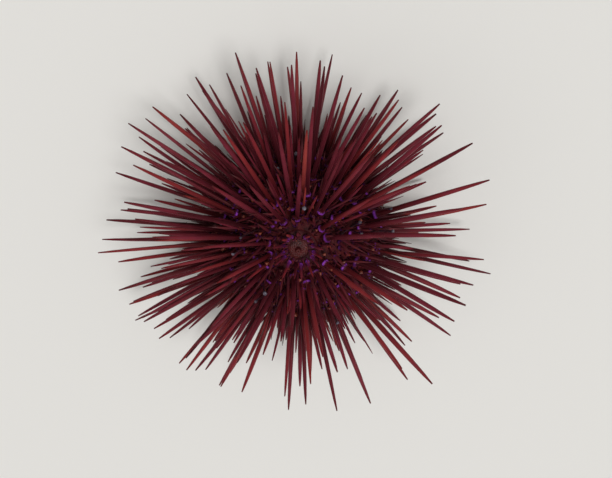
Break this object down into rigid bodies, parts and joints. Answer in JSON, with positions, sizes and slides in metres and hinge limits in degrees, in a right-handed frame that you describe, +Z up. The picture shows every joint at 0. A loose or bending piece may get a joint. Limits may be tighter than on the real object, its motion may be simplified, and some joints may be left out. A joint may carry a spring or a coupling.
{
  "type": "purple sea urchin",
  "caption": "Life-size model of a purple sea urchin: a domed round body covered in long tapered red-brown spines, standing on the tips of its lower spines.",
  "frame": {"origin": "on the floor under the middle of the model's box, which is within 3 mm of the body's vertical axis", "axes": "+Z up along the body's axis, from the mouth below to the anus on top; +Y towards the first ambulacrum, which is the top of the pictured view; the underside rests at Z = 0"},
  "size_m": [0.0918, 0.0826, 0.0369],
  "materials": {
    "spined_skin": "satin maroon to red-brown spines with a violet ring at each root, on a dark maroon skin",
    "apical_plates": "dull dark maroon plates",
    "anal_skin": "soft dull red-brown skin",
    "mouth_skin": "soft dull pinkish-brown skin with ivory teeth"
  },
  "bodies": {
    "root": {"ambulacrum_1": "spined_skin", "interambulacrum_1": "spined_skin", "ambulacrum_2": "spined_skin", "interambulacrum_2": "spined_skin", "ambulacrum_3": "spined_skin", "interambulacrum_3": "spined_skin", "ambulacrum_4": "spined_skin", "interambulacrum_4": "spined_skin", "ambulacrum_5": "spined_skin", "interambulacrum_5": "spined_skin", "apical_disc": "apical_plates", "periproct": "anal_skin", "mouth": "mouth_skin"}
  },
  "joints": []
}
